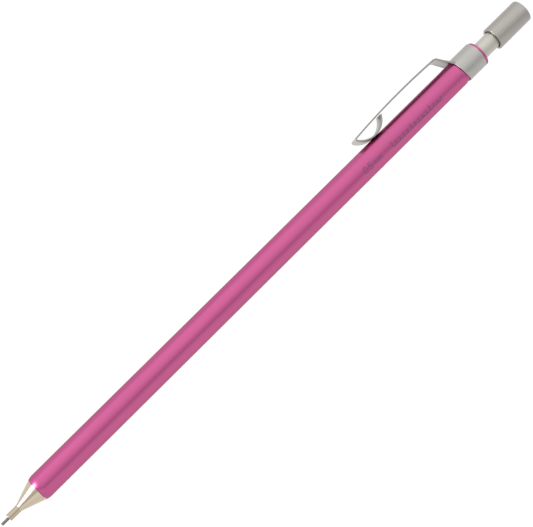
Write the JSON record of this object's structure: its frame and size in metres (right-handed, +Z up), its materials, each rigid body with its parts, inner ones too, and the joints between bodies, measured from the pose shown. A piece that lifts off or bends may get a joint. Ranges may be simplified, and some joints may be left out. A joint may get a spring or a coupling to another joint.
{
  "type": "mechanical pencil",
  "caption": "Slim push-button mechanical pencil for thin leads: anodised tube, plated turned tip, folded steel pocket clip and push cap.",
  "frame": {"origin": "on the surface it lies on, under the middle of its bounding box", "axes": "+X along the pencil from the lead's tip to the push cap; +Y to the side that the clip is on; +Z up from the surface. The pencil lies rolled so that the clip's lower edge touches the surface."},
  "size_m": [0.1336, 0.0082, 0.0054],
  "materials": {
    "anodised_pink": "satin pink anodised",
    "nickel_plate": "turned, bright nickel plated",
    "brass": "turned, plain",
    "clip_steel": "rolled, satin",
    "satin_cap": "drawn, fine satin",
    "spring_steel": "drawn wire",
    "anodised_clear": "drawn, satin, clear anodised",
    "acetal_white": "moulded, satin",
    "rubber_black": "moulded, matt",
    "eraser_white": "extruded vinyl, matt",
    "graphite": "extruded, slight sheen"
  },
  "bodies": {
    "barrel": {"barrel": "anodised_pink", "clip_band": "clip_steel", "tail_ring": "anodised_pink", "chuck_sleeve": "brass", "return_spring": "spring_steel"},
    "retainer": {"lead_retainer": "rubber_black"},
    "tip": {"tip_cone": "nickel_plate"},
    "lead": {"lead": "graphite"},
    "pusher": {"lead_tube": "anodised_clear", "tube_connector": "acetal_white", "chuck_body": "brass", "spare_lead_1": "graphite", "spare_lead_2": "graphite", "spare_lead_3": "graphite"},
    "chuck_jaw_1": {"chuck_jaw_1": "brass"},
    "chuck_jaw_2": {"chuck_jaw_2": "brass"},
    "chuck_jaw_3": {"chuck_jaw_3": "brass"},
    "clutch_ring": {"clutch_ring": "brass"},
    "eraser": {"eraser": "eraser_white"},
    "cap": {"push_cap": "satin_cap", "cap_liner": "acetal_white"},
    "clip": {"clip_arm": "clip_steel"}
  },
  "joints": [
    {"name": "button_push", "type": "slide", "parent": "barrel", "child": "pusher", "axis": [-1, 0, 0], "range_m": [0, 0.0025], "stiffness_N_per_m": 1200, "springref_m": -0.002, "deforming": ["return_spring"]},
    {"name": "clutch_ring_travel", "type": "slide", "parent": "barrel", "child": "clutch_ring", "axis": [-1, 0, 0], "range_m": [0, 0.0007]},
    {"name": "chuck_jaw_1_spread", "type": "hinge", "parent": "pusher", "child": "chuck_jaw_1", "pos_m": [-0.04745, -0.0014, 0.0033], "axis": [0, 0.9854, -0.17], "range_deg": [0, 2.7]},
    {"name": "chuck_jaw_2_spread", "type": "hinge", "parent": "pusher", "child": "chuck_jaw_2", "pos_m": [-0.04745, -0.0021, 0.00247], "axis": [0, -0.3455, 0.9384], "range_deg": [0, 2.7]},
    {"name": "chuck_jaw_3_spread", "type": "hinge", "parent": "pusher", "child": "chuck_jaw_3", "pos_m": [-0.04745, -0.00103, 0.00229], "axis": [0, -0.6399, -0.7684], "range_deg": [0, 2.7]},
    {"name": "lead_feed", "type": "slide", "parent": "barrel", "child": "lead", "axis": [-1, 0, 0], "range_m": [-0.00155, 0.014]},
    {"name": "eraser_pull", "type": "slide", "parent": "pusher", "child": "eraser", "axis": [1, 0, 0], "range_m": [0, 0.003]},
    {"name": "cap_pull", "type": "slide", "parent": "eraser", "child": "cap", "axis": [1, 0, 0], "range_m": [0, 0.012]},
    {"name": "tip_travel", "type": "slide", "parent": "barrel", "child": "retainer", "axis": [-1, 0, 0], "range_m": [0, 0.004]},
    {"name": "tip_turn", "type": "hinge", "parent": "retainer", "child": "tip", "pos_m": [-0.05844, -0.00151, 0.00268], "axis": [-1, 0, 0], "range_deg": [0, 2890]},
    {"name": "clip_flex", "type": "hinge", "parent": "barrel", "child": "clip", "pos_m": [0.04884, 0.00115, 0.00223], "axis": [0, -0.17, -0.9854], "range_deg": [0, 4], "stiffness_Nm_per_rad": 2, "springref_deg": -1.72}
  ],
  "couplings": [
    {"joint": "clutch_ring_travel", "follows": "button_push", "ratio": 0.24},
    {"joint": "chuck_jaw_1_spread", "follows": "button_push", "rad_per_m": 18.15},
    {"joint": "chuck_jaw_2_spread", "follows": "button_push", "rad_per_m": 18.15},
    {"joint": "chuck_jaw_3_spread", "follows": "button_push", "rad_per_m": 18.15},
    {"joint": "tip_turn", "follows": "tip_travel", "rad_per_m": 12566}
  ]
}
